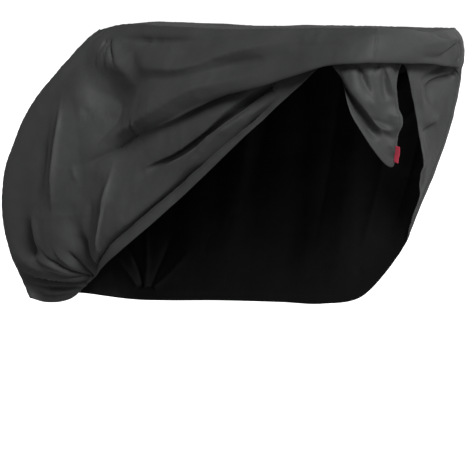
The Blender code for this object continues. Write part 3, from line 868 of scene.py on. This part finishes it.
seamWork = {
    "weltHalf": 0.006,         # half the width of the felled seam
    "weltHeight": 0.0014,
    "pucker": 0.0005,
    "puckerLength": 0.032,
    "puckerReach": 0.022,
    "puckerUneven": (2.2, 23.0),    # how far the puckers stray from an even beat, and how often
}
hemWork = {
    "width": 0.032,
    "height": 0.0010,
    "roll": 0.004,             # the last bit of the hem, which turns in
    "rollDepth": 0.0016,
}
edgeStep = (0.002, 0.003)      # a seam or a hem ends this far past its width, over this far


def edgeDistances(cloth):
    # distance of each point from the nearest seam and from the hem, along the cloth
    points = cloth["points"]
    seam = np.full(len(points), 9.0)
    hem = np.full(len(points), 9.0)
    along = np.zeros(len(points))
    wallIndex, turns = cloth["wallIndex"], cloth["turns"]
    for k in range(4):
        block = wallIndex[turns[k]:turns[k + 1] + 1]
        down = travelled(points[block], axis=1)
        hem[block] = down[:, -1:] - down
        across = travelled(points[block])
        sides = np.minimum(across, across[-1:] - across)
        if k in (0, 2):
            sides = np.minimum(sides, down)
        seam[block] = np.minimum(seam[block], sides)
        along[block] = np.where(sides == down, across, down)
    block = cloth["topIndex"]
    across = travelled(points[block], axis=1)
    sides = np.minimum(across, across[:, -1:] - across)
    inner = block[1:-1, 1:-1]
    seam[inner] = sides[1:-1, 1:-1]
    along[inner] = travelled(points[block])[1:-1, 1:-1]
    cloth["seam"], cloth["hem"], cloth["along"] = seam, hem, along


def pushEdges(cloth, seamSet, hemSet):
    edgeDistances(cloth)
    normals = clothNormals(cloth)
    seam, hem, along = cloth["seam"], cloth["hem"], cloth["along"]
    stray, often = seamSet["puckerUneven"]
    past, over = edgeStep
    wave = np.sin(2 * np.pi * along / seamSet["puckerLength"] + stray * np.sin(along * often))
    push = seamSet["weltHeight"] * smooth((seamSet["weltHalf"] + past - seam) / over)
    push += seamSet["pucker"] * wave * np.exp(-(seam / seamSet["puckerReach"]) ** 2)
    push += hemSet["height"] * smooth((hemSet["width"] + past - hem) / over)
    push -= hemSet["rollDepth"] * smooth(1 - hem / hemSet["roll"])
    cloth["points"] = cloth["points"] + normals * push[:, None]
    cloth["normals"] = clothNormals(cloth)


pushEdges(cloth, seamWork, hemWork)
print("seams and hems shaped")

weaveWork = {
    "slub": {"Scale": 60.0, "Detail": 4.0},
    "cloud": {"Scale": 5.0, "Detail": 5.0},
    "slubTone": 0.35,          # shares of slubs and threads in the tone, beside the soft clouds
    "threadTone": 0.10,
    "toneRange": {"From Min": 0.35, "From Max": 1.0},
    "threadHeight": 0.6,
    "slubHeight": 0.8,
    "roughRange": {"From Min": 0.3, "From Max": 0.7, "To Min": 0.54, "To Max": 0.68},
    "bumpDistance": 0.0006,
    "sheenRoughness": 0.45,
}


def newSocket(group, name, inOut, kind, value=None):
    socket = group.interface.new_socket(name=name, in_out=inOut, socket_type=kind)
    if value is not None:
        socket.default_value = value


def newNode(nodes, kind, values=()):
    node = nodes.new(kind)
    for name, value in dict(values).items():
        node.inputs[name].default_value = value
    return node


def makeWeaveGroup(setUp):
    # fine plain weave with slubs, and a soft uneven tone, for every cloth here
    group = bpy.data.node_groups.new("plainWeave", "ShaderNodeTree")
    newSocket(group, "Vector", "INPUT", "NodeSocketVector")
    newSocket(group, "Pitch", "INPUT", "NodeSocketFloat", 1000.0)
    newSocket(group, "Dark", "INPUT", "NodeSocketColor", (0.03, 0.03, 0.03, 1))
    newSocket(group, "Light", "INPUT", "NodeSocketColor", (0.04, 0.04, 0.04, 1))
    newSocket(group, "Colour", "OUTPUT", "NodeSocketColor")
    newSocket(group, "Height", "OUTPUT", "NodeSocketFloat")
    newSocket(group, "Roughness", "OUTPUT", "NodeSocketFloat")
    nodes, links = group.nodes, group.links
    given = nodes.new("NodeGroupInput")
    out = nodes.new("NodeGroupOutput")

    def calc(what, a, b=None):
        node = nodes.new("ShaderNodeMath")
        node.operation = what
        for socket, value in zip(node.inputs, (a, b)):
            if isinstance(value, float):
                socket.default_value = value
            elif value is not None:
                links.new(value, socket)
        return node.outputs[0]

    split = nodes.new("ShaderNodeSeparateXYZ")
    links.new(given.outputs["Vector"], split.inputs[0])
    threads = [calc("SINE", calc("MULTIPLY", split.outputs[axis], given.outputs["Pitch"])) for axis in "XY"]
    weave = calc("MULTIPLY", *threads)
    slub = newNode(nodes, "ShaderNodeTexNoise", setUp["slub"])
    cloud = newNode(nodes, "ShaderNodeTexNoise", setUp["cloud"])
    for noise in (slub, cloud):
        links.new(given.outputs["Vector"], noise.inputs["Vector"])
    tone = calc("ADD", cloud.outputs["Fac"], calc("MULTIPLY", slub.outputs["Fac"], setUp["slubTone"]))
    tone = calc("ADD", tone, calc("MULTIPLY", weave, setUp["threadTone"]))
    spread = newNode(nodes, "ShaderNodeMapRange", setUp["toneRange"])
    links.new(tone, spread.inputs["Value"])
    mix = nodes.new("ShaderNodeMix")
    mix.data_type = "RGBA"
    links.new(spread.outputs["Result"], mix.inputs["Factor"])
    links.new(given.outputs["Dark"], mix.inputs["A"])
    links.new(given.outputs["Light"], mix.inputs["B"])
    links.new(mix.outputs["Result"], out.inputs["Colour"])
    height = calc("ADD", calc("MULTIPLY", weave, setUp["threadHeight"]),
                  calc("MULTIPLY", slub.outputs["Fac"], setUp["slubHeight"]))
    links.new(height, out.inputs["Height"])
    rough = newNode(nodes, "ShaderNodeMapRange", setUp["roughRange"])
    links.new(cloud.outputs["Fac"], rough.inputs["Value"])
    links.new(rough.outputs["Result"], out.inputs["Roughness"])
    return group


weaveGroup = makeWeaveGroup(weaveWork)

finishes = {
    "charcoalCloth": {"dark": (0.0270, 0.0277, 0.0280, 1), "light": (0.0400, 0.0408, 0.0411, 1),
                      "pitch": 2600.0, "bump": 0.10, "sheen": 0.03, "specular": 0.15},
    # the inner skin: a black coating, its tone set far below real black cloth as painted shade for the inside
    # of the cover
    "blackCoatingPaintedShade": {"dark": (0.0016, 0.0016, 0.0017, 1), "light": (0.0030, 0.0030, 0.0032, 1),
                     "pitch": 2600.0, "bump": 0.05, "sheen": 0.0, "specular": 0.12},
    "darkThread": {"dark": (0.020, 0.020, 0.022, 1), "light": (0.034, 0.034, 0.036, 1),
                   "pitch": 9000.0, "bump": 0.10, "sheen": 0.1, "specular": 0.40},
    # the tab's red dye, darkened as painted shade for the half-shade it hangs in
    "redRibbonPaintedShade": {"dark": (0.25, 0.010, 0.026, 1), "light": (0.36, 0.019, 0.048, 1),
                  "pitch": 5200.0, "bump": 0.25, "sheen": 0.2, "specular": 0.35},
}


def makeFinish(name, finish, setUp):
    material = bpy.data.materials.new(name)
    material.use_nodes = True
    nodes, links = material.node_tree.nodes, material.node_tree.links
    shader = nodes["Principled BSDF"]
    shader.inputs["Sheen Weight"].default_value = finish["sheen"]
    shader.inputs["Sheen Roughness"].default_value = setUp["sheenRoughness"]
    shader.inputs["Specular IOR Level"].default_value = finish["specular"]
    place = nodes.new("ShaderNodeUVMap")
    place.uv_map = "cut"
    weave = nodes.new("ShaderNodeGroup")
    weave.node_tree = weaveGroup
    for socket in ("Pitch", "Dark", "Light"):
        weave.inputs[socket].default_value = finish[socket.lower()]
    links.new(place.outputs["UV"], weave.inputs["Vector"])
    links.new(weave.outputs["Colour"], shader.inputs["Base Color"])
    links.new(weave.outputs["Roughness"], shader.inputs["Roughness"])
    bump = newNode(nodes, "ShaderNodeBump", {"Strength": finish["bump"], "Distance": setUp["bumpDistance"]})
    links.new(weave.outputs["Height"], bump.inputs["Height"])
    links.new(bump.outputs["Normal"], shader.inputs["Normal"])
    return material


paints = {name: makeFinish(name, finish, weaveWork) for name, finish in finishes.items()}
print("materials made:", len(paints))


def makeItem(name, verts, faces, flat, paintNames, slots=None):
    # an object from its points, faces, places on the cut cloth and finishes
    mesh = bpy.data.meshes.new(name)
    mesh.from_pydata(verts, [], faces)
    ids = np.empty(len(mesh.loops), dtype=np.int32)
    mesh.loops.foreach_get("vertex_index", ids)
    layer = mesh.uv_layers.new(name="cut")
    layer.data.foreach_set("uv", flat[ids].astype(np.float32).ravel())
    for paint in paintNames:
        mesh.materials.append(paints[paint])
    if slots is not None:
        mesh.polygons.foreach_set("material_index", slots)
    mesh.polygons.foreach_set("use_smooth", np.ones(len(faces), dtype=bool))
    mesh.update()
    item = bpy.data.objects.new(name, mesh)
    bpy.context.scene.collection.objects.link(item)
    return item


def panelUV(cloth):
    # metres along and down the cloth, as it was cut
    points = cloth["points"]
    flat = np.zeros((len(points), 2))
    wallIndex, turns = cloth["wallIndex"], cloth["turns"]
    start = 0.0
    for k in range(4):
        block = wallIndex[turns[k]:turns[k + 1] + 1]
        across = travelled(points[block[:, block.shape[1] // 2]])
        flat[block, 0] = (start + across)[:, None]
        flat[block, 1] = travelled(points[block], axis=1)
        start += across[-1]
    return flat


def makePanel(name, faces, cloth, grid, paintNames):
    points, normals = cloth["points"], cloth["normals"]
    used = np.unique(faces)
    order = np.full(len(points), -1)
    order[used] = np.arange(len(used))
    local = order[faces]
    place, out = points[used], normals[used]
    # the panel is drawn back a little from the seams that it shares
    middles = place[local].mean(axis=1)
    inward = np.zeros_like(place)
    for k in range(4):
        np.add.at(inward, local[:, k], middles - place[local[:, k]])
    shared = np.isin(used, cloth["sharedPoints"])
    pull = inward - out * (inward * out).sum(axis=1)[:, None]
    pull /= np.maximum(np.linalg.norm(pull, axis=1), 1e-9)[:, None]
    place[shared] += pull[shared] * grid["seamGap"] / 2
    half = grid["thickness"] / 2
    verts = np.vstack([place + out * half, place - out * half])
    count = len(place)
    edges = np.concatenate([local[:, [k, (k + 1) % 4]] for k in range(4)])
    key = edges[:, 0].astype(np.int64) * count + edges[:, 1]
    back = edges[:, 1].astype(np.int64) * count + edges[:, 0]
    rim = edges[~np.isin(key, back)]
    rimFaces = np.stack([rim[:, 1], rim[:, 0], rim[:, 0] + count, rim[:, 1] + count], axis=1)
    # both skins are cut along the same, shorter diagonal, so that they never cross
    firstWay = np.linalg.norm(place[local[:, 0]] - place[local[:, 2]], axis=1)
    otherWay = np.linalg.norm(place[local[:, 1]] - place[local[:, 3]], axis=1)
    turned = np.where((firstWay <= otherWay)[:, None], local, np.roll(local, -1, axis=1))
    skin = np.vstack([turned[:, [0, 1, 2]], turned[:, [0, 2, 3]]])
    every = skin.tolist() + (skin[:, ::-1] + count).tolist() + rimFaces.tolist()
    slots = np.zeros(len(every), dtype=np.int32)
    slots[len(skin):2 * len(skin)] = 1
    return makeItem(name, verts, every, np.vstack([cloth["flat"][used]] * 2), paintNames, slots)


def findShared(cloth):
    # the points on the seams, which belong to more than one panel
    owners = np.zeros(len(cloth["points"]), dtype=int)
    for faces in cloth["faces"].values():
        owners[np.unique(faces)] += 1
    cloth["sharedPoints"] = np.nonzero(owners > 1)[0]


findShared(cloth)
cloth["flat"] = panelUV(cloth)
# the outer skin, then the inner skin, whose near-black tone is partly painted shade
clothPaints = ("charcoalCloth", "blackCoatingPaintedShade")

nearPanel = makePanel("nearPanel", cloth["faces"]["nearSide"], cloth, clothGrid, clothPaints)
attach(nearPanel, "root")
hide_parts("side_near")

farPanel = makePanel("farPanel", cloth["faces"]["farSide"], cloth, clothGrid, clothPaints)
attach(farPanel, "root")
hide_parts("side_far")

longStrip = makePanel("longStrip", cloth["faces"]["strip"], cloth, clothGrid, clothPaints)
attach(longStrip, "root")
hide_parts("strip")
print("panels cut:", sum(len(item.data.polygons) for item in (nearPanel, farPanel, longStrip)), "faces")

stitchWork = {
    "pitch": 0.0045,
    "length": 0.0034,
    "halfWidth": 0.00042,
    "halfHeight": 0.00030,
    "lift": 0.0005,            # of a stitch's middle above the middle of the cloth
    "seamRow": 0.0042,         # of the two stitch rows from the seam between them
    "hemRow": 0.0280,          # of the hem's stitch row from its edge
    "seamPoints": 7,           # points of the cloth, out from a seam or up from the hem, past the row
    "hemPoints": 40,
}


def rowBeside(cloth, block, offset):
    # the line on the cloth that runs at this distance from the block's first column of points
    points, normals = cloth["points"], cloth["normals"]
    line, outs = [], []
    for ids, gaps in zip(block, travelled(points[block], axis=1)):
        line.append([np.interp(offset, gaps, points[ids, k]) for k in range(3)])
        outs.append([np.interp(offset, gaps, normals[ids, k]) for k in range(3)])
    return np.array(line), np.array(outs)


def stitchesAlong(line, outs, setUp):
    # low shuttle shapes with six corners, one after the other along the line
    ticks = travelled(line)
    starts = np.arange(setUp["pitch"], ticks[-1] - 2 * setUp["pitch"], setUp["pitch"])

    def at(values, places):
        return np.stack([np.interp(places, ticks, values[:, k]) for k in range(3)], axis=1)

    tail, head = at(line, starts), at(line, starts + setUp["length"])
    out = at(outs, starts + setUp["length"] / 2)
    out /= np.linalg.norm(out, axis=1)[:, None]
    middle = (tail + head) / 2 + out * setUp["lift"]
    side = np.cross(head - tail, out)
    side *= setUp["halfWidth"] / np.linalg.norm(side, axis=1)[:, None]
    rise = out * setUp["halfHeight"]
    low = out * (setUp["lift"] - setUp["halfHeight"])
    corners = [tail + low, head + low, middle + side, middle + rise, middle - side, middle - rise]
    return np.stack(corners, axis=1)


# a stitch's faces, and where its six corners lie on the thread, in half lengths
shuttleFaces = np.array([(0, 3, 2), (0, 4, 3), (0, 5, 4), (0, 2, 5),
                         (1, 2, 3), (1, 3, 4), (1, 4, 5), (1, 5, 2)])
shuttleFlat = [(-1, 0), (1, 0), (0, 1), (0, 0), (0, -1), (0, 0)]


def makeStitches(name, rows, cloth, setUp):
    corners = np.concatenate([
        stitchesAlong(*rowBeside(cloth, block, offset), setUp) for block, offset in rows])
    count = len(corners)
    faces = (shuttleFaces[None] + 6 * np.arange(count)[:, None, None]).reshape(-1, 3)
    flat = np.tile(shuttleFlat, (count, 1)) * setUp["length"] / 2
    return makeItem(name, corners.reshape(-1, 3), faces.tolist(), flat, ["darkThread"])


def stitchRows(cloth, setUp):
    # blocks of points that start at a seam or at the hem and lead away from it, with the row's distance
    wall, top, turns = cloth["wallIndex"], cloth["topIndex"], cloth["turns"]
    reach = setUp["seamPoints"]
    runs = [wall[turns[k]:turns[k + 1] + 1] for k in range(4)]
    near, front, far, rear = runs
    seams = []
    for side in (near, far):
        seams += [side[:, :reach], side[:reach].T, side[::-1][:reach].T]
    for end in (front, rear):
        seams += [end[:reach].T, end[::-1][:reach].T]
    seams += [top[:, :reach], top[:, ::-1][:, :reach]]
    hems = [run[:, ::-1][:, :setUp["hemPoints"]] for run in runs]
    return [(block, setUp["seamRow"]) for block in seams], [(block, setUp["hemRow"]) for block in hems]


seamRows, hemRows = stitchRows(cloth, stitchWork)
seamStitches = makeStitches("seamStitches", seamRows, cloth, stitchWork)
hemStitches = makeStitches("hemStitches", hemRows, cloth, stitchWork)
for item in (seamStitches, hemStitches):
    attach(item, "root")
print("stitches made:", sum(len(item.data.polygons) for item in (seamStitches, hemStitches)), "faces")

tabWork = {
    "aboveHem": 0.020,         # its lower end, along the front seam
    "length": 0.062,           # along the seam
    "reach": 0.0215,
    "ribbon": 0.0005,          # thickness of the ribbon
    "fold": 0.0011,            # half the thickness of the doubled ribbon at its fold
    "sway": 0.0028,            # how far it curls
    "swayWave": (0.4, 0.9),    # the curl's start in its wave, and the half waves along the ribbon
    "slant": 0.10,             # how far its free edge hangs down at the lower end
    "follow": 0.6,             # how much of the seam's bend it takes up
    "start": 0.0008,           # from the middle of the seam
    "steps": 24,
    "flatSteps": 8,
    "foldSteps": 8,
}


def makeTab(name, cloth, setUp):
    # a ribbon doubled over, with both ends caught in the seam
    column = cloth["wallIndex"][cloth["side"]][::-1]
    seam, outs = cloth["points"][column], cloth["normals"][column]
    climb = travelled(seam)
    wanted = setUp["aboveHem"] + np.linspace(0, setUp["length"], setUp["steps"] + 1)
    foot = np.stack([np.interp(wanted, climb, seam[:, k]) for k in range(3)], axis=1)
    out = np.stack([np.interp(wanted, climb, outs[:, k]) for k in range(3)], axis=1).mean(axis=0)
    up = (foot[-1] - foot[0]) / np.linalg.norm(foot[-1] - foot[0])
    out -= up * (out @ up)
    out /= np.linalg.norm(out)
    side = np.cross(up, out)
    turn = np.radians(np.linspace(-90, 90, setUp["foldSteps"] + 1))
    bendAt = setUp["reach"] - setUp["fold"]
    straight = np.linspace(setUp["start"], bendAt, setUp["flatSteps"] + 1)[:-1]
    phase, wave = setUp["swayWave"]
    rings = []
    for k, point in enumerate(foot):
        share = k / setUp["steps"]
        base = foot[0] + up * (wanted[k] - wanted[0])
        base = base + (point - base) * setUp["follow"]
        ring = []
        for half, order in ((setUp["fold"], 1), (setUp["fold"] - setUp["ribbon"], -1)):
            # from the seam along one side, round the fold and back; then the inner face the other way
            reach = np.concatenate([straight, bendAt + half * np.cos(turn), straight[::-1]])
            across = np.concatenate([0 * straight - half, half * np.sin(turn), 0 * straight + half])
            curl = setUp["sway"] * np.sin(np.pi * share * wave + phase) * (reach / setUp["reach"]) ** 2
            spots = base + reach[:, None] * out + (across + curl)[:, None] * side
            spots = spots - up * (setUp["slant"] * reach[:, None] * (1 - share))
            ring.append(spots[::order])
        rings.append(np.vstack(ring))
    rings = np.array(rings)
    count = rings.shape[1]
    index = np.arange(rings.size // 3).reshape(len(rings), count)
    around = np.roll(index, -1, axis=1)
    faces = np.stack([index[:-1], around[:-1], around[1:], index[1:]], axis=-1).reshape(-1, 4).tolist()
    for ring, order in ((index[0], -1), (index[-1], 1)):     # closes the ribbon's cut edges
        for k in range(count // 2 - 1):
            face = [ring[k], ring[k + 1], ring[count - 2 - k], ring[count - 1 - k]]
            faces.append([int(v) for v in face[::order]])
    along = travelled(rings[0])
    flat = np.stack(np.broadcast_arrays(along[None, :], (wanted - wanted[0])[:, None]), axis=-1)
    # the ribbon's finish is a red darkened as painted shade
    return makeItem(name, rings.reshape(-1, 3), faces, flat.reshape(-1, 2), ["redRibbonPaintedShade"])


redTab = makeTab("redTab", cloth, tabWork)
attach(redTab, "root")
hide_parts("seam_tab")
print("tab made")
